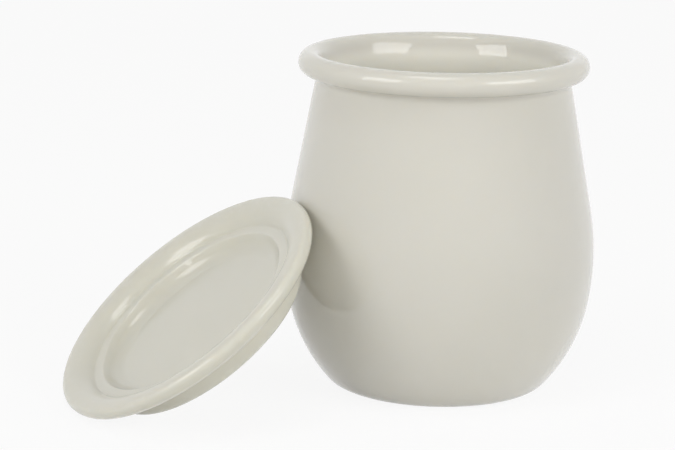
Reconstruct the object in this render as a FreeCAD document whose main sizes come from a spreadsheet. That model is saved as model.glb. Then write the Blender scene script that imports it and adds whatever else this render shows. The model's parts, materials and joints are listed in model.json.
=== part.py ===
"""Yogurt pot with a rolled rim and a loose plug lid that leans against its side.

Millimetres, +Z up. The origin is the centre of the pot's flat foot, on the table.
Both pieces are turned: each is one half section revolved about its own axis.
"""
import math
import os

import FreeCAD
import Part
import Sketcher

# Driving dimensions: name, size in millimetres or degrees, what it measures
DIMENSIONS = (
    ("height", 83.9, "foot to the top of the rim"),
    ("rim_diameter", 72.0, "over the roll of the rim"),
    ("bead_radius", 2.9, "round of the rim's roll"),
    ("rim_overhang", 4.7, "roll of the rim past the neck, on the radius"),
    ("lip_round", 3.0, "round over the top of the rim into the mouth"),
    ("flare_round", 13.0, "round of the mouth's flare down to the side"),
    ("wall", 2.8, "side wall, square to its surface"),
    ("belly_diameter", 77.4, "widest part of the side"),
    ("belly_height", 33.1, "level of the widest part"),
    ("belly_band", 11.6, "reach of the belly's round above and below that level"),
    ("foot_diameter", 48.0, "flat that the pot stands on"),
    ("foot_round", 5.3, "round from the foot into the side"),
    ("floor", 3.0, "bottom of the pot"),
    ("inner_round", 5.0, "round from the floor into the side, inside"),
    ("crease_round", 0.7, "glaze filling the crease under the rim"),
    ("lid_overhang", 1.0, "flange past the rim, all round"),
    ("edge_top_round", 1.4, "upper round of the flange's edge"),
    ("edge_under_round", 2.8, "lower round of the flange's edge"),
    ("crest_width", 2.0, "flange's edge to the start of its dome"),
    ("dome_round", 7.0, "flange's dome, from the crest down to the dish's ledge"),
    ("ledge_depth", 3.2, "crest down to the dish's ledge"),
    ("ledge_inset", 1.9, "ledge's inner edge inside the plug's outside"),
    ("dish_depth", 6.6, "crest down to the dish's floor"),
    ("dish_inset", 4.2, "dish's floor inside the plug's outside"),
    ("dish_round", 0.8, "rounds of the dish's corners"),
    ("lid_floor", 1.8, "web under the dish"),
    ("plug_length", 7.0, "plug below the flange's seat"),
    ("plug_clearance", 0.6, "plug to the mouth's throat, on the radius"),
    ("plug_draft", 6.0, "taper of the plug's side, degrees"),
    ("plug_round", 1.6, "round of the plug's lower edge"),
    ("seat_round", 3.5, "round from the flange's seat into the plug"),
    ("skirt", 2.4, "wall of the plug at its lower edge"),
    ("lean_tilt", 39.2, "lid's plane above the table, degrees"),
    ("lean_heading", 24.4, "lean, from -X towards -Y, degrees"),
    ("lean_gap", 0.3, "leaning lid to the pot"),
)

# Points of a line or an arc, as a sketch numbers them
START, END, CENTRE = range(1, 4)
ORIGIN = (-1, 1)
FULL_TURN = 360
AXIS = FreeCAD.Vector(0, 0, 1)
SETTLED = 0.001


def fill_sheet(doc):
    """Spreadsheet of the driving dimensions, one aliased cell each."""
    sheet = doc.addObject("Spreadsheet::Sheet", "dims")
    for row, (name, size, meaning) in enumerate(DIMENSIONS, start=1):
        sheet.set(f"A{row}", name)
        sheet.set(f"B{row}", str(size))
        sheet.set(f"C{row}", meaning)
        sheet.setAlias(f"B{row}", name)
    doc.recompute()
    return sheet


def polar(centre, radius, angle):
    """Point at an angle on a circle, as (radius from the axis, height)."""
    return centre[0] + radius * math.cos(angle), centre[1] + radius * math.sin(angle)


class Section:
    """Half section of a turned piece, drawn in its body's XZ plane with the axis upright."""

    def __init__(self, body, name):
        self.sketch = body.newObject("Sketcher::SketchObject", name)
        plane = next(f for f in body.Origin.OriginFeatures if f.Role == "XZ_Plane")
        self.sketch.AttachmentSupport = [(plane, "")]
        self.sketch.MapMode = "FlatFace"

    def line(self, start, end):
        """Straight stretch between two points."""
        return self.sketch.addGeometry(Part.LineSegment(FreeCAD.Vector(*start), FreeCAD.Vector(*end)))

    def arc(self, centre, radius, first, last):
        """Round stretch, anticlockwise from the first angle to the last."""
        circle = Part.Circle(FreeCAD.Vector(*centre), AXIS, radius)
        return self.sketch.addGeometry(Part.ArcOfCircle(circle, first, last))

    def point(self, place):
        """Point that only guides the curves."""
        return self.sketch.addGeometry(Part.Point(FreeCAD.Vector(*place)), True)

    def tie(self, kind, *items):
        """Geometric constraint."""
        return self.sketch.addConstraint(Sketcher.Constraint(kind, *items))

    def size(self, name, expression, kind, *items):
        """Dimension that follows the sheet."""
        value = self.sketch.evalExpression(expression)
        index = self.tie(kind, *items, float(getattr(value, "Value", value)))
        self.sketch.renameConstraint(index, name)
        self.sketch.setExpression(f"Constraints.{name}", expression)

    def read_across(self, name, item, at):
        """Distance of a point from the axis that follows the rest of the section."""
        index = self.tie("DistanceX", *ORIGIN, item, at, self.place(item, at).x)
        self.sketch.setDriving(index, False)
        self.sketch.renameConstraint(index, name)

    def across(self, name, expression, item, at):
        """Distance of a point from the axis."""
        self.size(name, expression, "DistanceX", *ORIGIN, item, at)

    def up(self, name, expression, item, at):
        """Height of a point over the piece's own zero level."""
        self.size(name, expression, "DistanceY", *ORIGIN, item, at)

    def round_to(self, name, expression, item):
        """Radius of a round stretch."""
        self.size(name, expression, "Radius", item)

    def place(self, item, at):
        """Solved point, as it lies in the piece's XZ plane."""
        solved = self.sketch.getPoint(item, at)
        return FreeCAD.Vector(solved.x, 0, solved.y)


def turn(body, section, name):
    """Solid of a half section revolved about the upright axis."""
    solid = body.newObject("PartDesign::Revolution", name)
    solid.Profile = section.sketch
    solid.ReferenceAxis = (section.sketch, ["V_Axis"])
    solid.Angle = FULL_TURN
    body.Document.recompute()
    return solid


def soften(body, base, corners, name, expression):
    """Rounds the circular edges that pass through the given corners of the section."""
    edges = []
    for index, edge in enumerate(base.Shape.Edges, start=1):
        ring = isinstance(edge.Curve, Part.Circle)
        if ring and any(edge.distToShape(Part.Vertex(corner))[0] < SETTLED for corner in corners):
            edges.append(f"Edge{index}")
    rounds = body.newObject("PartDesign::Fillet", name)
    rounds.Base = (base, edges)
    rounds.setExpression("Radius", expression)
    body.Document.recompute()
    return rounds


def make_pot(doc, dims):
    """Vessel: flat foot, bowl, belly, straight flank, rolled rim, and a wall of even thickness inside."""
    body = doc.addObject("PartDesign::Body", "Pot")
    body.Label = "pot"
    section = Section(body, "PotSection")
    foot, foot_round = dims.foot_diameter / 2, dims.foot_round
    belly, band, wall = dims.belly_diameter / 2, dims.belly_band, dims.wall
    bead, lip, flare_radius = dims.bead_radius, dims.lip_round, dims.flare_round
    bead_centre = (dims.rim_diameter / 2 - bead, dims.height - bead)
    lip_centre = (bead_centre[0], dims.height - lip)
    neck = dims.rim_diameter / 2 - dims.rim_overhang
    crease = bead_centre[1] - math.sqrt(bead ** 2 - (bead_centre[0] - neck) ** 2)

    # First guess of the curves, near enough for the constraints to settle them
    flank = math.atan2(belly - neck, crease - dims.belly_height - band / 2)
    belly_radius = band / math.sin(flank)
    belly_centre = (belly - belly_radius, dims.belly_height)
    low = polar(belly_centre, belly_radius, -flank)
    high = polar(belly_centre, belly_radius, flank)
    across, up = low[0] - foot, low[1] - foot_round
    inward = up * math.sin(flank) - across * math.cos(flank)
    bowl_radius = (foot_round ** 2 - across ** 2 - up ** 2) / (2 * (inward + foot_round))
    bowl_centre = polar(low, bowl_radius, math.pi - flank)
    bowl_end = math.atan2(foot_round - bowl_centre[1], foot - bowl_centre[0])
    lead = math.cos(flank) * (neck - lip_centre[0]) + math.sin(flank) * (crease - lip_centre[1])
    lip_end = flank - math.acos((lead + flare_radius - wall) / (flare_radius - lip))
    flare_centre = polar(lip_centre, flare_radius - lip, lip_end)
    inner = dims.inner_round
    reach = bowl_radius - wall - inner
    rise = dims.floor + inner - bowl_centre[1]
    inner_centre = (bowl_centre[0] + math.sqrt(reach ** 2 - rise ** 2), dims.floor + inner)
    inner_end = math.atan2(rise, inner_centre[0] - bowl_centre[0])

    # Outside, from the foot up to the rim
    base = section.line((0, 0), (foot, 0))
    corner = section.arc((foot, foot_round), foot_round, -math.pi / 2, bowl_end)
    bowl = section.arc(bowl_centre, bowl_radius, bowl_end, -flank)
    side = section.arc(belly_centre, belly_radius, -flank, flank)
    slope = section.line(high, (neck, crease))
    bead_start = math.atan2(crease - bead_centre[1], neck - bead_centre[0])
    roll = section.arc(bead_centre, bead, bead_start, math.pi / 2)
    # Inside, from the lip down to the floor
    mouth = section.arc(lip_centre, lip, math.pi / 2, math.pi + lip_end)
    flare = section.arc(flare_centre, flare_radius, math.pi + lip_end, math.pi + flank)
    inner_high = polar(belly_centre, belly_radius - wall, flank)
    inner_slope = section.line(polar(flare_centre, flare_radius, math.pi + flank), inner_high)
    inner_side = section.arc(belly_centre, belly_radius - wall, -flank, flank)
    inner_bowl = section.arc(bowl_centre, bowl_radius - wall, inner_end, -flank)
    inner_corner = section.arc(inner_centre, inner, -math.pi / 2, inner_end)
    floor = section.line((inner_centre[0], dims.floor), (0, dims.floor))
    axis = section.line((0, dims.floor), (0, 0))
    widest = section.point((belly, dims.belly_height))
    throat = section.point((flare_centre[0] - flare_radius, flare_centre[1]))

    section.tie("Coincident", base, START, *ORIGIN)
    section.tie("Horizontal", base)
    section.tie("Tangent", base, END, corner, START)
    section.tie("Tangent", corner, END, bowl, START)
    section.tie("Tangent", bowl, END, side, START)
    section.tie("Tangent", side, END, slope, START)
    section.tie("Coincident", slope, END, roll, START)
    section.tie("Tangent", roll, END, mouth, START)
    section.tie("Vertical", roll, END, roll, CENTRE)
    section.tie("Tangent", mouth, END, flare, START)
    section.tie("Tangent", flare, END, inner_slope, START)
    section.tie("Parallel", inner_slope, slope)
    section.tie("Tangent", inner_slope, END, inner_side, END)
    section.tie("Coincident", inner_side, CENTRE, side, CENTRE)
    section.tie("Tangent", inner_side, START, inner_bowl, END)
    section.tie("Coincident", inner_bowl, CENTRE, bowl, CENTRE)
    section.tie("Tangent", inner_bowl, START, inner_corner, END)
    section.tie("Tangent", inner_corner, START, floor, START)
    section.tie("Horizontal", floor)
    section.tie("Coincident", floor, END, axis, START)
    section.tie("Vertical", axis)
    section.tie("Coincident", axis, END, base, START)
    section.tie("PointOnObject", widest, START, side)
    section.tie("Horizontal", widest, START, side, CENTRE)
    section.tie("PointOnObject", throat, START, flare)
    section.tie("Horizontal", throat, START, flare, CENTRE)

    section.across("foot_radius", "dims.foot_diameter / 2", base, END)
    section.round_to("foot_round", "dims.foot_round", corner)
    section.across("belly_radius", "dims.belly_diameter / 2", widest, START)
    section.up("belly_height", "dims.belly_height", widest, START)
    section.up("band_low", "dims.belly_height - dims.belly_band", side, START)
    section.up("band_high", "dims.belly_height + dims.belly_band", side, END)
    section.round_to("bead_radius", "dims.bead_radius", roll)
    section.across("bead_across", "dims.rim_diameter / 2 - dims.bead_radius", roll, CENTRE)
    section.up("bead_up", "dims.height - dims.bead_radius", roll, CENTRE)
    section.across("neck_radius", "dims.rim_diameter / 2 - dims.rim_overhang", slope, END)
    section.round_to("lip_round", "dims.lip_round", mouth)
    section.round_to("flare_round", "dims.flare_round", flare)
    section.size("wall", "dims.wall", "Distance", inner_slope, START, slope)
    section.round_to("inner_round", "dims.inner_round", inner_corner)
    section.up("floor_up", "dims.floor", floor, END)
    doc.recompute()
    section.read_across("throat_radius", throat, START)
    doc.recompute()

    vessel = turn(body, section, "PotTurned")
    soften(body, vessel, [section.place(slope, END)], "CreaseRound", "dims.crease_round")
    return body


def make_lid(doc, dims):
    """Plug lid: rounded flange, stepped dish on top, tapered plug below. Zero level is the flange's seat."""
    body = doc.addObject("PartDesign::Body", "Lid")
    body.Label = "lid"
    section = Section(body, "LidSection")
    edge = dims.rim_diameter / 2 + dims.lid_overhang
    under, top = dims.edge_under_round, dims.edge_top_round
    crest = under + top
    plug = doc.getObject("PotSection").getDatum("throat_radius").Value - dims.plug_clearance
    draft = math.radians(dims.plug_draft)
    seat_round, plug_round = dims.seat_round, dims.plug_round
    ledge = plug - dims.ledge_inset
    ledge_up, dish_up = crest - dims.ledge_depth, crest - dims.dish_depth
    web = dish_up - dims.lid_floor
    dome_start = edge - dims.crest_width
    dome_centre = (dome_start, crest - dims.dome_round)
    dome_end = math.pi - math.asin((dims.dome_round - dims.ledge_depth) / dims.dome_round)
    dome_foot = polar(dome_centre, dims.dome_round, dome_end)

    # First guess of the plug's rounds
    seat_centre = (plug + seat_round, -seat_round)
    wall_top = polar(seat_centre, seat_round, math.pi - draft)
    tip = plug - (dims.plug_length - seat_round) * math.tan(draft)
    round_centre = (tip - plug_round, plug_round - dims.plug_length)
    wall_foot = polar(round_centre, plug_round, -draft)
    skirt = tip - dims.skirt

    # Underside, from the axis out to the flange's edge
    web_face = section.line((0, web), (skirt, web))
    skirt_side = section.line((skirt, web), (skirt, -dims.plug_length))
    skirt_foot = section.line((skirt, -dims.plug_length), (round_centre[0], -dims.plug_length))
    plug_edge = section.arc(round_centre, plug_round, -math.pi / 2, -draft)
    plug_side = section.line(wall_foot, wall_top)
    seat_curve = section.arc(seat_centre, seat_round, math.pi / 2, math.pi - draft)
    seat = section.line((seat_centre[0], 0), (edge - under, 0))
    edge_under = section.arc((edge - under, under), under, -math.pi / 2, 0)
    edge_top = section.arc((edge - top, under), top, 0, math.pi / 2)
    # Top, from the crest in to the axis
    crest_face = section.line((edge - top, crest), (dome_start, crest))
    dome = section.arc(dome_centre, dims.dome_round, math.pi / 2, dome_end)
    ledge_face = section.line(dome_foot, (ledge, ledge_up))
    dish_side = section.line((ledge, ledge_up), (plug - dims.dish_inset, dish_up))
    dish_face = section.line((plug - dims.dish_inset, dish_up), (0, dish_up))
    axis = section.line((0, dish_up), (0, web))
    gauge = section.point((plug, -seat_round))

    flats = (web_face, skirt_foot, seat, crest_face, ledge_face, dish_face)
    for flat in flats:
        section.tie("Horizontal", flat)
    for upright in (skirt_side, axis):
        section.tie("Vertical", upright)
    section.tie("PointOnObject", axis, END, -2)
    section.tie("Coincident", web_face, END, skirt_side, START)
    section.tie("Coincident", skirt_side, END, skirt_foot, START)
    section.tie("Tangent", skirt_foot, END, plug_edge, START)
    section.tie("Tangent", plug_edge, END, plug_side, START)
    section.tie("Tangent", plug_side, END, seat_curve, END)
    section.tie("Tangent", seat_curve, START, seat, START)
    section.tie("Tangent", seat, END, edge_under, START)
    section.tie("Tangent", edge_under, END, edge_top, START)
    section.tie("Horizontal", edge_under, END, edge_under, CENTRE)
    section.tie("Tangent", edge_top, END, crest_face, START)
    section.tie("Tangent", crest_face, END, dome, START)
    section.tie("Coincident", dome, END, ledge_face, START)
    section.tie("Coincident", ledge_face, END, dish_side, START)
    section.tie("Coincident", dish_side, END, dish_face, START)
    section.tie("Coincident", dish_face, END, axis, START)
    section.tie("Coincident", axis, END, web_face, START)
    section.tie("PointOnObject", seat, START, -1)
    section.tie("PointOnObject", gauge, START, plug_side)

    plug_size = "(PotSection.Constraints.throat_radius - dims.plug_clearance * 1 mm)"
    edge_size = "(dims.rim_diameter / 2 + dims.lid_overhang)"
    crest_size = "(dims.edge_under_round + dims.edge_top_round)"
    section.up("crest_up", crest_size, crest_face, END)
    section.up("ledge_up", f"{crest_size} - dims.ledge_depth", ledge_face, END)
    section.up("dish_up", f"{crest_size} - dims.dish_depth", dish_face, END)
    section.up("web_up", f"{crest_size} - dims.dish_depth - dims.lid_floor", axis, END)
    section.up("foot_up", "-dims.plug_length", skirt_foot, START)
    section.across("edge_across", edge_size, edge_under, END)
    section.round_to("edge_under_round", "dims.edge_under_round", edge_under)
    section.across("crest_across", f"{edge_size} - dims.crest_width", crest_face, END)
    section.round_to("dome_round", "dims.dome_round", dome)
    section.across("ledge_across", f"{plug_size} - dims.ledge_inset * 1 mm", ledge_face, END)
    section.across("dish_across", f"{plug_size} - dims.dish_inset * 1 mm", dish_face, START)
    section.across("plug_across", plug_size, gauge, START)
    section.up("gauge_up", "-dims.seat_round", gauge, START)
    section.size("plug_draft", "dims.plug_draft * 1 deg", "Angle", plug_side, START, axis, END)
    section.round_to("plug_round", "dims.plug_round", plug_edge)
    section.round_to("seat_round", "dims.seat_round", seat_curve)
    section.size("skirt", "dims.skirt - dims.plug_round", "DistanceX", skirt_foot, START, skirt_foot, END)
    doc.recompute()

    cap = turn(body, section, "LidTurned")
    corners = [section.place(item, END) for item in (dome, ledge_face, dish_side)]
    soften(body, cap, corners, "DishRounds", "dims.dish_round")
    return body


def lean(lid, pot, dims):
    """Stands the lid's edge on the table and slides it in until it leans on the pot, but for the gap."""
    heading, tilt = math.radians(dims.lean_heading), dims.lean_tilt
    away = FreeCAD.Vector(-math.cos(heading), -math.sin(heading), 0)
    turned = FreeCAD.Rotation(AXIS.cross(away), tilt)
    shape = lid.Shape.copy()
    shape.Placement = FreeCAD.Placement(FreeCAD.Vector(), turned)
    up = -shape.optimalBoundingBox(False).ZMin
    reach = dims.belly_diameter + dims.rim_diameter
    while True:
        place = FreeCAD.Placement(away * reach + AXIS * up, turned)
        shape.Placement = place
        spare = shape.distToShape(pot.Shape)[0] - dims.lean_gap
        if spare < SETTLED:
            break
        reach -= spare
    lid.Placement = place


def check(doc, bodies):
    """Stops if anything in the document failed or a piece isn't one sound solid."""
    for item in doc.Objects:
        if "Invalid" in item.State or "Error" in item.State:
            raise RuntimeError(f"{item.Label} failed: {item.State}")
    for body in bodies:
        if body.Shape.isNull() or not body.Shape.isValid() or len(body.Shape.Solids) != 1:
            raise RuntimeError(f"{body.Label} is not one sound solid")


def main():
    """Builds the pot and its lid and writes one STEP file for each."""
    doc = FreeCAD.newDocument("yogurt_pot")
    dims = fill_sheet(doc)
    pot = make_pot(doc, dims)
    lid = make_lid(doc, dims)
    check(doc, (pot, lid))
    lean(lid, pot, dims)
    doc.recompute()
    check(doc, (pot, lid))
    os.makedirs("parts", exist_ok=True)
    for body in (pot, lid):
        body.Shape.exportStep(os.path.join("parts", f"{body.Label}.step"))
        print(body.Label, "volume", round(body.Shape.Volume, 1), body.Placement.Base)


main()
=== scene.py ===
"""Glazed yogurt pot with a rolled rim, and its loose plug lid leaning on it. Metres, +Z up."""
from __future__ import annotations

import json
import logging
import math
from dataclasses import dataclass, field
from enum import Enum
from typing import Any, Callable

import bpy
from mathutils import Euler, Matrix, Vector

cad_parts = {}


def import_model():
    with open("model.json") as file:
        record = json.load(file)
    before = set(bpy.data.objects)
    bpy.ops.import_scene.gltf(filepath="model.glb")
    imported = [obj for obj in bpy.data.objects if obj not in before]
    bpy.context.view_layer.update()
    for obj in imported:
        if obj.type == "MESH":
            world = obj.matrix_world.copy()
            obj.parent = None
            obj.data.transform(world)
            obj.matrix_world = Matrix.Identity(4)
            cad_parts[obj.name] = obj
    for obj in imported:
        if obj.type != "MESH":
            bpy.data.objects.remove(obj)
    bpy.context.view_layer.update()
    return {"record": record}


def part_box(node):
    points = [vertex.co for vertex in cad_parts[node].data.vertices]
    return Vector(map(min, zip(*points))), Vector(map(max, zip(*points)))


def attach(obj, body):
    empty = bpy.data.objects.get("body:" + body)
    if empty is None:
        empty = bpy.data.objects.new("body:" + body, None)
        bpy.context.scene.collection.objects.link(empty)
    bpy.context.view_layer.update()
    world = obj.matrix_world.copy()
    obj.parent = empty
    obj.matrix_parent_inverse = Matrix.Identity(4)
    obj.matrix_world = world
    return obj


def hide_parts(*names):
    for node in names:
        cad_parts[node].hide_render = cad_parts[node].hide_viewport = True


LOG = logging.getLogger("yogurt_pot")
IMAGE_WIDTH = 675
SMOOTH_ANGLE = math.radians(50)
WELD = 0.000004
ON_RING = 8 * WELD
SEED = 0.001
HALVINGS = 60
AIM = Vector((0.0, 0.0, 0.045))
UP = Vector((0.0, 0.0, 1.0))
TO_VIEWER = Vector((0.0, -1.0, 0.0))
WHITE = (1.0, 1.0, 1.0, 1.0)
Colour = tuple[float, float, float]
Point = tuple[float, float]
Span = tuple[float, float]

# Both finishes take their gloss from a clear coat and have a little depth to their colour.
CLEAR_COAT = {
    "Coat IOR": 1.5, "Specular IOR Level": 0.1,
    "Subsurface Weight": 0.4, "Subsurface Scale": 0.006, "Subsurface Radius": (1.0, 0.9, 0.75)}


@dataclass(frozen=True)
class Signal:
    """A node's output whose arithmetic adds Math nodes."""

    graph: "FinishGraph"
    socket: bpy.types.NodeSocket

    def _math(self, operation: str, first: Any, second: Any) -> "Signal":
        """Adds one Math node.

        Args:
            operation: the Math node's operation.
            first: left value or signal.
            second: right value or signal.

        Returns:
            The node's result.
        """
        return self.graph.node("ShaderNodeMath", {"operation": operation}, {0: first, 1: second}, "Value")

    def __add__(self, other: Any) -> "Signal":
        """Sum."""
        return self._math("ADD", self, other)

    __radd__ = __add__

    def __mul__(self, other: Any) -> "Signal":
        """Product."""
        return self._math("MULTIPLY", self, other)

    __rmul__ = __mul__

    def __sub__(self, other: Any) -> "Signal":
        """Difference."""
        return self._math("SUBTRACT", self, other)

    def __rsub__(self, other: Any) -> "Signal":
        """Difference from a number."""
        return self._math("SUBTRACT", other, self)

    def __pow__(self, other: Any) -> "Signal":
        """Power."""
        return self._math("POWER", self, other)

    def size(self) -> "Signal":
        """Value without its sign."""
        return self._math("ABSOLUTE", self, 0.0)

    def wave(self) -> "Signal":
        """Sine of the value."""
        return self._math("SINE", self, 0.0)

    def larger(self, other: Any) -> "Signal":
        """The larger of two values."""
        return self._math("MAXIMUM", self, other)

    def beside(self, name: Any) -> "Signal":
        """Another output of the same node."""
        return Signal(self.graph, self.socket.node.outputs[name])


class FinishGraph:
    """Node tree of one material, or of the sky."""

    def __init__(self, owner: bpy.types.Material | bpy.types.World) -> None:
        """Starts an empty tree.

        Args:
            owner: material or world that the tree belongs to.
        """
        owner.use_nodes = True
        self.tree = owner.node_tree
        self.tree.nodes.clear()

    def node(self, kind: str, settings: dict[str, Any], inputs: dict[Any, Any], output: Any = 0) -> Signal:
        """Adds a node of any type.

        Args:
            kind: Blender's name of the node type.
            settings: properties, set before the sockets.
            inputs: value or signal for each socket, by name or number.
            output: name or number of the socket that is handed on.

        Returns:
            The chosen output.
        """
        made = self.tree.nodes.new(kind)
        for key, value in settings.items():
            setattr(made, key, value)
        for key, value in inputs.items():
            if isinstance(value, Signal):
                self.tree.links.new(value.socket, made.inputs[key])
            else:
                made.inputs[key].default_value = value
        return Signal(self, made.outputs[output] if made.outputs else made.inputs[0])

    def noise(self, place: Signal, scale: float, detail: float) -> Signal:
        """Soft noise from 0 to 1.

        Args:
            place: coordinates.
            scale: repeats in a metre.
            detail: finer layers.

        Returns:
            The noise's value.
        """
        return self.node("ShaderNodeTexNoise", {}, {"Vector": place, "Scale": scale, "Detail": detail})

    def step(self, value: Signal, low: float, high: float) -> Signal:
        """Smooth step from 0 at the low value to 1 at the high one.

        Args:
            value: signal that is tested.
            low: value where the step starts.
            high: value where it ends.

        Returns:
            The step's value.
        """
        sockets = {"Value": value, "From Min": low, "From Max": high, "To Min": 0.0, "To Max": 1.0}
        return self.node("ShaderNodeMapRange", {"interpolation_type": "SMOOTHSTEP"}, sockets)

    def blend(self, share: Any, first: Any, second: Any) -> Signal:
        """Mix of two colours.

        Args:
            share: 0 for the first colour, 1 for the second.
            first: colour or signal.
            second: colour or signal.

        Returns:
            The mixed colour.
        """
        first = first if isinstance(first, Signal) else (*first, 1.0)
        second = second if isinstance(second, Signal) else (*second, 1.0)
        return self.node("ShaderNodeMix", {"data_type": "RGBA"}, {0: share, 6: first, 7: second}, 2)

    def turned(self, place: Signal) -> tuple[Signal, Signal]:
        """Distance from the upright axis, and height.

        Args:
            place: coordinates of a turned piece that stands on its axis.

        Returns:
            Radius and height.
        """
        across = self.node("ShaderNodeSeparateXYZ", {}, {0: place})
        deep, height = across.beside(1), across.beside(2)
        return (across * across + deep * deep) ** 0.5, height

    def backdrop(self) -> Signal:
        """1 for rays that come from the camera, from a mirror or through glass."""
        camera = self.node("ShaderNodeLightPath", {}, {}, "Is Camera Ray")
        return camera.larger(camera.beside("Is Glossy Ray")).larger(camera.beside("Is Transmission Ray"))


@dataclass(frozen=True)
class Glaze:
    """Glossy off-white glaze over stoneware, with a bare foot."""

    name: str = "off_white_glaze"
    body: Colour = (0.690, 0.670, 0.612)
    warm: Colour = (0.664, 0.648, 0.568)
    # Darker tone: painted shade in the crease under the rim, and the pinholes' specks.
    crease_shade_and_pinhole_tone: Colour = (0.580, 0.562, 0.480)
    # Paler tone: painted light down the inside of the mouth, lifting its shade.
    inside: Colour = (0.840, 0.822, 0.742)
    clay: Colour = (0.600, 0.550, 0.460)
    cloud_scale: float = 34.0
    ripple_scale: float = 170.0
    pinhole_scale: float = 150.0
    pinhole_edge: Span = (0.02, 0.07)
    pinhole_patch: Span = (0.54, 0.62)
    crease_shade_reach: float = 0.0016
    neck_edge: float = 0.0010
    wall_shares: Span = (0.3, 0.8)
    inside_light_heights: Span = (0.040, 0.055)
    foot_heights: Span = (0.0002, 0.0007)
    relief: float = 0.0006
    relief_strength: float = 0.03
    coat_roughness: float = 0.03

    def material(self, pot: "Pot") -> bpy.types.Material:
        """Builds the glaze: clouds of tone, painted shade in the crease under the rim, a paler inside
        painted in as light, pinholes and a bare foot.

        Args:
            pot: the vessel, for the levels of its rim, crease and foot.

        Returns:
            The material.
        """
        material = bpy.data.materials.new(self.name)
        graph = FinishGraph(material)
        place = graph.node("ShaderNodeTexCoord", {}, {}, "Object")
        radius, height = graph.turned(place)
        neck, crease = pot.crease()
        lean = pot.flank()
        depth = along(lean, pot.crease()) - (radius * math.cos(lean) + height * math.sin(lean))
        shallow, deep = (pot.wall * share for share in self.wall_shares)

        # Where each part of the finish, the painted crease shade and the painted inside light lie, from 0
        # to 1.
        clouds = graph.noise(place, self.cloud_scale, 2.0)
        ripple = graph.noise(place, self.ripple_scale, 1.0)
        cells = graph.node("ShaderNodeTexVoronoi", {}, {"Vector": place, "Scale": self.pinhole_scale})
        pinhole = (1.0 - graph.step(cells, *self.pinhole_edge)) * graph.step(clouds, *self.pinhole_patch)
        crown = graph.step(height, crease, pot.height)
        # Painted shade: darker in the crease under the rim, on the outside only.
        crease_shade = 1.0 - graph.step((height - crease).size(), 0.0, self.crease_shade_reach)
        outside = graph.step(radius, neck - self.neck_edge, neck)
        # Painted light: the inside of the mouth is made paler, lifting the shade there.
        inside_light_mask = graph.step(depth, shallow, deep) * graph.step(height, *self.inside_light_heights)
        foot = 1.0 - graph.step(height, *self.foot_heights)

        tone = graph.blend(clouds * 0.6 + crown * 0.3, self.body, self.warm)
        # Painted light inside the mouth.
        tone = graph.blend(inside_light_mask, tone, self.inside)
        # Painted shade in the crease under the rim.
        tone = graph.blend(crease_shade * outside * 0.3, tone, self.crease_shade_and_pinhole_tone)
        tone = graph.blend(pinhole * 0.10, tone, self.crease_shade_and_pinhole_tone)
        tone = graph.blend(foot, tone, self.clay)
        level = ripple + clouds * 0.6 - pinhole * 0.3
        bump = graph.node("ShaderNodeBump", {}, {
            "Strength": self.relief_strength, "Distance": self.relief, "Height": level})
        shader = graph.node("ShaderNodeBsdfPrincipled", {}, {
            **CLEAR_COAT, "Base Color": tone, "Normal": bump,
            "Roughness": 0.36 + clouds * 0.12 + foot * 0.3,
            "Coat Weight": (0.88 + clouds * 0.12) * (1.0 - foot), "Coat Roughness": self.coat_roughness})
        graph.node("ShaderNodeOutputMaterial", {}, {"Surface": shader})
        return material


@dataclass(frozen=True)
class LidPlastic:
    """Glossy off-white moulding with the faint rings that its mould was turned with."""

    name: str = "off_white_moulding"
    body: Colour = (0.690, 0.672, 0.594)
    warm: Colour = (0.664, 0.652, 0.550)
    rubbed: Colour = (0.720, 0.704, 0.634)
    cloud_scale: float = 42.0
    scuff_scale: float = 520.0
    scuff_patch: Span = (0.50, 0.75)
    crest_reach: float = 0.0012
    ring_pitch: float = 0.0011
    ring_share: float = 0.006
    relief: float = 0.0006
    relief_strength: float = 0.08
    coat_roughness: float = 0.035

    def material(self, lid: "Lid") -> bpy.types.Material:
        """Builds the plastic in the lid's own upright place.

        Args:
            lid: the lid, for where it leans and the level of its crest.

        Returns:
            The material.
        """
        material = bpy.data.materials.new(self.name)
        graph = FinishGraph(material)
        place = graph.node("ShaderNodeTexCoord", {}, {}, "Object")
        home = lid.seat.inverted()
        upright = graph.node("ShaderNodeMapping", {}, {
            "Vector": place, "Location": home.translation, "Rotation": home.to_euler()})
        radius, height = graph.turned(upright)
        clouds = graph.noise(upright, self.cloud_scale, 2.0)
        scuffs = graph.noise(upright, self.scuff_scale, 1.0)
        rings = (radius * (math.tau / self.ring_pitch)).wave()
        crest = graph.step(height, lid.crest - self.crest_reach, lid.crest)
        tone = graph.blend(clouds * 0.7, self.body, self.warm)
        tone = graph.blend(crest * graph.step(scuffs, *self.scuff_patch) * 0.4, tone, self.rubbed)
        level = clouds + rings * self.ring_share
        bump = graph.node("ShaderNodeBump", {}, {
            "Strength": self.relief_strength, "Distance": self.relief, "Height": level})
        shader = graph.node("ShaderNodeBsdfPrincipled", {}, {
            **CLEAR_COAT, "Base Color": tone, "Normal": bump,
            "Roughness": 0.30 + clouds * 0.10 + crest * scuffs * 0.10,
            "Coat Weight": 0.64 + clouds * 0.2, "Coat Roughness": self.coat_roughness})
        graph.node("ShaderNodeOutputMaterial", {}, {"Surface": shader})
        return material


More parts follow.
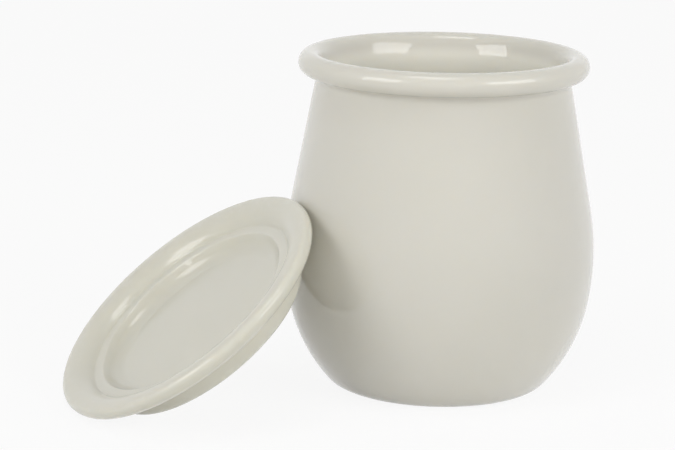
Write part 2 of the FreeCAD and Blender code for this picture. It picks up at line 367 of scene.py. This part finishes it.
@dataclass(frozen=True)
class TableTop:
    """Pale matt table that looks white from where the camera stands and keeps a soft shadow."""

    name: str = "pale_table"
    colour: Colour = (0.86, 0.86, 0.85)
    cloudy: Colour = (0.84, 0.84, 0.83)
    cloud_scale: float = 3.0
    white_share: float = 0.90

    def material(self) -> bpy.types.Material:
        """Builds the table's surface.

        Returns:
            The material.
        """
        material = bpy.data.materials.new(self.name)
        graph = FinishGraph(material)
        place = graph.node("ShaderNodeTexCoord", {}, {}, "Object")
        tone = graph.blend(graph.noise(place, self.cloud_scale, 2.0), self.colour, self.cloudy)
        matt = graph.node("ShaderNodeBsdfDiffuse", {}, {"Color": tone})
        white = graph.node("ShaderNodeEmission", {}, {"Color": WHITE})
        share = graph.backdrop() * self.white_share
        shader = graph.node("ShaderNodeMixShader", {}, {0: share, 1: matt, 2: white})
        graph.node("ShaderNodeOutputMaterial", {}, {"Surface": shader})
        return material


class ProfilePen:
    """Draws a half section vertex by vertex in edit mode, then turns it about the upright axis."""

    def __init__(self, name: str, start: Point) -> None:
        """Puts down the first vertex.

        Args:
            name: the piece's name.
            start: distance from the axis, and height.
        """
        bpy.ops.object.select_all(action="DESELECT")
        bpy.ops.mesh.primitive_plane_add(size=SEED, location=(0.0, 0.0, 0.0))
        self.piece = bpy.context.object
        self.piece.name = name
        self.piece.data.name = name
        bpy.ops.object.mode_set(mode="EDIT")
        bpy.ops.mesh.select_mode(type="VERT")
        bpy.ops.mesh.select_all(action="SELECT")
        bpy.ops.mesh.merge(type="CENTER")
        bpy.ops.transform.translate(value=(start[0], 0.0, start[1]))
        self.tip = Vector((start[0], 0.0, start[1]))

    def line_to(self, end: Point, cuts: int = 1) -> None:
        """Extrudes a straight stretch.

        Args:
            end: where the stretch ends.
            cuts: number of edges along it.
        """
        stride = (Vector((end[0], 0.0, end[1])) - self.tip) / cuts
        for _ in range(cuts):
            bpy.ops.mesh.extrude_vertices_move(TRANSFORM_OT_translate={"value": stride})
        self.tip = Vector((end[0], 0.0, end[1]))

    def arc(self, centre: Point, turn: float, steps: int) -> None:
        """Sweeps the last vertex round a centre.

        Args:
            centre: middle of the round.
            turn: angle, anticlockwise where the axis is on the left.
            steps: number of edges along it.
        """
        pivot = Vector((centre[0], 0.0, centre[1]))
        bpy.ops.mesh.spin(
            steps=steps, angle=turn, center=pivot, axis=(0.0, 1.0, 0.0), use_auto_merge=False)
        self.tip = pivot + Matrix.Rotation(turn, 3, Vector((0.0, -1.0, 0.0))) @ (self.tip - pivot)

    def turn(self, segments: int) -> bpy.types.Object:
        """Spins the outline into a closed solid.

        Args:
            segments: facets round the axis.

        Returns:
            The turned piece, in object mode.
        """
        bpy.ops.mesh.select_all(action="SELECT")
        bpy.ops.mesh.spin(steps=segments, angle=math.tau, center=(0.0, 0.0, 0.0), axis=(0.0, 0.0, 1.0))
        bpy.ops.mesh.select_all(action="SELECT")
        bpy.ops.mesh.remove_doubles(threshold=WELD)
        bpy.ops.mesh.select_all(action="SELECT")
        bpy.ops.mesh.normals_make_consistent(inside=False)
        bpy.ops.object.mode_set(mode="OBJECT")
        return self.piece


def activate(piece: bpy.types.Object) -> None:
    """Makes a piece the only selected one.

    Args:
        piece: object that the next operators act on.
    """
    bpy.ops.object.select_all(action="DESELECT")
    piece.select_set(True)
    bpy.context.view_layer.objects.active = piece


def round_rings(piece: bpy.types.Object, corners: list[Point], width: float, segments: int) -> None:
    """Bevels the edge loops that run through given corners of a turned piece.

    Args:
        piece: turned piece, still upright on its axis.
        corners: distance from the axis and height of each corner.
        width: distance from the corner to the bevel's edge.
        segments: facets across the round.
    """
    activate(piece)
    bpy.ops.object.mode_set(mode="EDIT")
    bpy.ops.mesh.select_all(action="DESELECT")
    bpy.ops.mesh.select_mode(type="EDGE")
    bpy.ops.object.mode_set(mode="OBJECT")
    mesh = piece.data

    def at_corner(index: int) -> bool:
        """Tells whether a vertex lies on one of the corners.

        Args:
            index: the vertex's number.

        Returns:
            True where it does.
        """
        place = mesh.vertices[index].co
        reach = math.hypot(place.x, place.y)
        return any(math.hypot(reach - r, place.z - z) < ON_RING for r, z in corners)

    for edge in mesh.edges:
        edge.select = all(at_corner(index) for index in edge.vertices)
    bpy.ops.object.mode_set(mode="EDIT")
    bpy.ops.mesh.bevel(offset=width, segments=segments, profile=0.5, affect="EDGES", clamp_overlap=True)
    bpy.ops.object.mode_set(mode="OBJECT")


def smooth(piece: bpy.types.Object) -> None:
    """Shades a piece smoothly up to a crease angle."""
    activate(piece)
    bpy.ops.object.shade_smooth_by_angle(angle=SMOOTH_ANGLE)


def polar(centre: Point, radius: float, angle: float) -> Point:
    """Point at an angle on a circle, as distance from the axis and height."""
    return centre[0] + radius * math.cos(angle), centre[1] + radius * math.sin(angle)


def along(normal: float, point: Point) -> float:
    """Distance of a point from the origin, along a direction given as an angle."""
    return math.cos(normal) * point[0] + math.sin(normal) * point[1]


def solve(error: Callable[[float], float], low: float, high: float) -> float:
    """Finds where a steadily changing error is zero.

    Args:
        error: function that changes sign between the ends.
        low: lower end.
        high: upper end.

    Returns:
        The value between them.
    """
    rising = error(high) > error(low)
    for _ in range(HALVINGS):
        middle = (low + high) / 2
        if (error(middle) > 0) == rising:
            high = middle
        else:
            low = middle
    return (low + high) / 2


@dataclass
class Pot:
    """Vessel with a flat foot, a full belly, a straight flank, a rolled rim and a flared mouth."""

    height: float = 0.0839
    rim: float = 0.0360
    bead: float = 0.0029
    rim_overhang: float = 0.0047
    lip: float = 0.0030
    flare: float = 0.0130
    wall: float = 0.0028
    belly: float = 0.0387
    belly_height: float = 0.0331
    band: float = 0.0116
    foot: float = 0.0240
    foot_round: float = 0.0053
    floor: float = 0.0030
    inner_round: float = 0.0050
    crease_round: float = 0.0016
    flank_limits: Span = (math.radians(3), math.radians(25))
    segments: int = 224
    glaze: Glaze = field(default_factory=Glaze)

    @property
    def bead_centre(self) -> Point:
        """Middle of the rim's roll."""
        return self.rim - self.bead, self.height - self.bead

    @property
    def lip_centre(self) -> Point:
        """Middle of the round over the top of the rim."""
        return self.bead_centre[0], self.height - self.lip

    def crease(self) -> Point:
        """Where the flank would meet the rim's roll without its fill of glaze.

        Returns:
            Distance from the axis, and height.
        """
        neck = self.rim - self.rim_overhang
        centre = self.bead_centre
        return neck, centre[1] - math.sqrt(self.bead ** 2 - (centre[0] - neck) ** 2)

    def flank(self) -> float:
        """Lean of the flank, which runs from the crease into the belly's round.

        Returns:
            Angle of the flank's normal over level.
        """
        crease = self.crease()

        def error(angle: float) -> float:
            """Gap between the belly's tangent and the crease."""
            curve = self.band / math.sin(angle)
            return along(angle, (self.belly - curve, self.belly_height)) + curve - along(angle, crease)

        return solve(error, *self.flank_limits)

    def mouth(self) -> tuple[float, Point]:
        """Round of the mouth.

        Returns:
            Angle where the lip runs into the flare, and the middle of the flare's round.
        """
        flank = self.flank()
        lead = along(flank, self.crease()) - along(flank, self.lip_centre)
        end = flank - math.acos((lead + self.flare - self.wall) / (self.flare - self.lip))
        return end, polar(self.lip_centre, self.flare - self.lip, end)

    @property
    def throat(self) -> float:
        """Radius of the mouth at its narrowest."""
        return self.mouth()[1][0] - self.flare

    def build(self) -> bpy.types.Object:
        """Draws and turns the section.

        Returns:
            The pot.
        """
        flank = self.flank()

        # The belly's round runs on into the bowl's, which touches the foot's.
        curve = self.band / math.sin(flank)
        belly = (self.belly - curve, self.belly_height)
        low = polar(belly, curve, -flank)
        across, up = low[0] - self.foot, low[1] - self.foot_round
        inward = up * math.sin(flank) - across * math.cos(flank)
        bowl_radius = (self.foot_round ** 2 - across ** 2 - up ** 2) / (2 * (inward + self.foot_round))
        bowl = polar(low, bowl_radius, math.pi - flank)
        bowl_end = math.atan2(self.foot_round - bowl[1], self.foot - bowl[0])

        # The crease's fill touches the flank and the rim's roll.
        fill = self.bead + self.crease_round
        gap = along(flank, self.crease()) - along(flank, self.bead_centre) + self.crease_round
        roll_start = flank - math.acos(gap / fill)
        fill_centre = polar(self.bead_centre, fill, roll_start)
        lip_end, flare_centre = self.mouth()

        # The inner corner touches the inside of the bowl and the floor.
        reach = bowl_radius - self.wall - self.inner_round
        inner_end = math.asin((self.floor + self.inner_round - bowl[1]) / reach)
        inner_corner = polar(bowl, reach, inner_end)

        # Up the outside, over the rim and down the inside.
        pen = ProfilePen("glazed_pot", (0.0, 0.0))
        pen.line_to((self.foot, 0.0), 3)
        pen.arc((self.foot, self.foot_round), bowl_end + math.pi / 2, 8)
        pen.arc(bowl, -flank - bowl_end, 20)
        pen.arc(belly, 2 * flank, 14)
        pen.line_to(polar(fill_centre, self.crease_round, flank + math.pi), 10)
        pen.arc(fill_centre, roll_start - flank, 8)
        pen.arc(self.bead_centre, math.pi / 2 - roll_start, 28)
        pen.arc(self.lip_centre, math.pi / 2 + lip_end, 14)
        pen.arc(flare_centre, flank - lip_end, 16)
        pen.line_to(polar(belly, curve - self.wall, flank), 8)
        pen.arc(belly, -2 * flank, 12)
        pen.arc(bowl, inner_end + flank, 16)
        pen.arc(inner_corner, -math.pi / 2 - inner_end, 8)
        pen.line_to((0.0, self.floor), 3)
        piece = pen.turn(self.segments)
        smooth(piece)
        return piece

    def dress(self, piece: bpy.types.Object) -> None:
        """Glazes the pot and ties it to its body.

        Args:
            piece: the pot.
        """
        piece.data.materials.append(self.glaze.material(self))
        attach(piece, "pot")
        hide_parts("pot")


@dataclass
class Lid:
    """Plug lid with a domed flange and a stepped dish, leaning along a given axis."""

    pot: Pot
    axis: Vector
    overhang: float = 0.0010
    edge_top: float = 0.0014
    edge_under: float = 0.0028
    crest_width: float = 0.0020
    dome: float = 0.0070
    ledge_depth: float = 0.0032
    ledge_inset: float = 0.0019
    dish_depth: float = 0.0066
    dish_inset: float = 0.0042
    ledge_soft: float = 0.0012
    dish_soft: float = 0.0024
    floor: float = 0.0018
    clearance: float = 0.0006
    plug_length: float = 0.0070
    plug_draft: float = math.radians(6.0)
    plug_round: float = 0.0016
    seat_round: float = 0.0035
    skirt: float = 0.0024
    segments: int = 224
    seat: Matrix = field(default_factory=Matrix)
    plastic: LidPlastic = field(default_factory=LidPlastic)

    @property
    def crest(self) -> float:
        """Top of the flange, over its own seat."""
        return self.edge_under + self.edge_top

    def build(self) -> bpy.types.Object:
        """Draws and turns the section, rounds the dish's corners and leans the lid on the pot.

        Returns:
            The lid.
        """
        edge = self.pot.rim + self.overhang
        plug = self.pot.throat - self.clearance
        ledge_up, dish_up = self.crest - self.ledge_depth, self.crest - self.dish_depth
        web = dish_up - self.floor

        # The plug's tapered side touches the round under the seat and the one at its end.
        taper = -self.plug_draft
        side = along(taper, (plug, -self.seat_round))
        seat_x = (side + self.seat_round + math.sin(taper) * self.seat_round) / math.cos(taper)
        seat_centre = (seat_x, -self.seat_round)
        round_up = self.plug_round - self.plug_length
        round_x = (side - self.plug_round - math.sin(taper) * round_up) / math.cos(taper)
        skirt = round_x - (self.skirt - self.plug_round)

        # The dome falls from the crest to the ledge.
        dome_centre = (edge - self.crest_width, self.crest - self.dome)
        fall = math.acos((self.dome - self.ledge_depth) / self.dome)
        ledge_out = polar(dome_centre, self.dome, math.pi / 2 + fall)
        ledge_in, dish = (plug - self.ledge_inset, ledge_up), (plug - self.dish_inset, dish_up)

        # Along the underside, up the plug, round the edge and down into the dish.
        pen = ProfilePen("plug_lid", (0.0, web))
        pen.line_to((skirt, web), 4)
        pen.line_to((skirt, -self.plug_length), 2)
        pen.line_to((round_x, -self.plug_length))
        pen.arc((round_x, round_up), math.pi / 2 + taper, 8)
        pen.line_to(polar(seat_centre, self.seat_round, math.pi + taper), 2)
        pen.arc(seat_centre, -math.pi / 2 - taper, 10)
        pen.line_to((edge - self.edge_under, 0.0))
        pen.arc((edge - self.edge_under, self.edge_under), math.pi / 2, 14)
        pen.arc((edge - self.edge_top, self.edge_under), math.pi / 2, 10)
        pen.line_to((edge - self.crest_width, self.crest))
        pen.arc(dome_centre, fall, 14)
        pen.line_to(ledge_in)
        pen.line_to(dish)
        pen.line_to((0.0, dish_up), 4)
        piece = pen.turn(self.segments)
        round_rings(piece, [ledge_out, ledge_in], self.ledge_soft, 8)
        round_rings(piece, [dish], self.dish_soft, 10)
        smooth(piece)
        self.lean(piece)
        return piece

    def lean(self, piece: bpy.types.Object) -> None:
        """Tilts the lid to its axis and moves it to where the frame holds it.

        Args:
            piece: the upright lid.
        """
        tilt = UP.rotation_difference(self.axis).to_matrix().to_4x4()
        own_low = [min((tilt @ vertex.co)[side] for vertex in piece.data.vertices) for side in range(3)]
        self.seat = Matrix.Translation(Vector(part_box("lid")[0]) - Vector(own_low)) @ tilt
        activate(piece)
        piece.matrix_world = self.seat
        bpy.ops.object.transform_apply(location=True, rotation=True, scale=True)

    def dress(self, piece: bpy.types.Object) -> None:
        """Gives the lid its plastic and ties it to its body.

        Args:
            piece: the lid.
        """
        piece.data.materials.append(self.plastic.material(self))
        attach(piece, "lid")
        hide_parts("lid")


@dataclass(frozen=True)
class SoftBox:
    """A lamp's place as seen from the pot, in degrees right of the front and up, and its light."""

    right: float
    up: float
    distance: float
    width: float
    height: float
    brightness: float
    mirrored: bool = True


class Lamp(Enum):
    """Soft boxes of the studio. The dim fills in front and behind don't show in the gloss."""

    LEFT = SoftBox(right=-51.0, up=25.0, distance=1.1, width=0.58, height=0.44, brightness=4.4)
    RIGHT = SoftBox(right=57.0, up=25.0, distance=1.1, width=0.74, height=0.44, brightness=4.0)
    TOP = SoftBox(right=-20.0, up=74.0, distance=1.0, width=0.40, height=0.30, brightness=4.0)
    FRONT = SoftBox(0.0, 8.0, distance=1.6, width=2.40, height=1.00, brightness=0.86, mirrored=False)
    BACK = SoftBox(180.0, 18.0, distance=1.8, width=3.20, height=1.40, brightness=0.75, mirrored=False)

    def hang(self) -> None:
        """Hangs the lamp so that it looks at the pot."""
        box = self.value
        turn = Euler((math.radians(-box.up), 0.0, math.radians(box.right))).to_matrix()
        data = bpy.data.lights.new(self.name.lower() + "_box", "AREA")
        data.shape = "RECTANGLE"
        data.size, data.size_y = box.width, box.height
        data.energy = math.pi * box.width * box.height * box.brightness
        lamp = bpy.data.objects.new(data.name, data)
        bpy.context.scene.collection.objects.link(lamp)
        lamp.visible_camera = False
        lamp.visible_glossy = box.mirrored
        lamp.location = AIM + turn @ TO_VIEWER * box.distance
        lamp.rotation_euler = (AIM - lamp.location).to_track_quat("-Z", "Y").to_euler()


@dataclass(frozen=True)
class Studio:
    """Camera, lamps, sky and table. The focal length is in the image's pixels."""

    focal: float = 2600.0
    distance: float = 0.6360
    camera_height: float = 0.1822
    pitch: float = math.radians(12.652)
    yaw: float = math.radians(-2.304)
    roll: float = math.radians(-1.005)
    clip: Span = (0.01, 50.0)
    ambient: float = 0.27
    table_size: float = 6.0
    table_gap: float = 0.0001

    def camera(self) -> None:
        """Stands the camera where the photograph was taken from."""
        ahead = Vector((
            math.sin(self.yaw) * math.cos(self.pitch),
            math.cos(self.yaw) * math.cos(self.pitch), -math.sin(self.pitch)))
        level = Vector((math.cos(self.yaw), -math.sin(self.yaw), 0.0))
        down = ahead.cross(level)
        right = level * math.cos(self.roll) + down * math.sin(self.roll)
        under = down * math.cos(self.roll) - level * math.sin(self.roll)
        data = bpy.data.cameras.new("photo_camera")
        data.sensor_fit = "HORIZONTAL"
        data.lens = self.focal / IMAGE_WIDTH * data.sensor_width
        data.clip_start, data.clip_end = self.clip
        camera = bpy.data.objects.new("photo_camera", data)
        bpy.context.scene.collection.objects.link(camera)
        turned = Matrix((right, -under, -ahead)).transposed().to_4x4()
        camera.matrix_world = Matrix.Translation((0.0, -self.distance, self.camera_height)) @ turned
        bpy.context.scene.camera = camera

    def sky(self) -> None:
        """Even light from all round, white behind the object."""
        world = bpy.data.worlds.new("studio")
        bpy.context.scene.world = world
        graph = FinishGraph(world)
        strength = self.ambient + graph.backdrop() * (1.0 - self.ambient)
        light = graph.node("ShaderNodeBackground", {}, {"Color": WHITE, "Strength": strength})
        graph.node("ShaderNodeOutputWorld", {}, {"Surface": light})

    def table(self) -> None:
        """Lays the pale table under the pot."""
        bpy.ops.object.select_all(action="DESELECT")
        bpy.ops.mesh.primitive_plane_add(size=self.table_size, location=(0.0, 0.0, -self.table_gap))
        table = bpy.context.object
        table.name = "table"
        table.data.materials.append(TableTop().material())

    def set_up(self) -> None:
        """Builds the whole studio."""
        bpy.context.scene.view_settings.view_transform = "Standard"
        self.camera()
        self.sky()
        self.table()
        for lamp in Lamp:
            lamp.hang()


def main() -> None:
    """Builds the studio, the pot and the lid."""
    logging.basicConfig(level=logging.INFO, format="%(name)s: %(message)s")
    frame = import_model()
    Studio().set_up()
    pot = Pot()
    lid = Lid(pot, Vector(frame["record"]["behaviour"]["joints"][0]["axis"]))
    for maker in (pot, lid):
        piece = maker.build()
        maker.dress(piece)
        LOG.info("%s has %d faces", piece.name, len(piece.data.polygons))


if __name__ == "__main__":
    main()
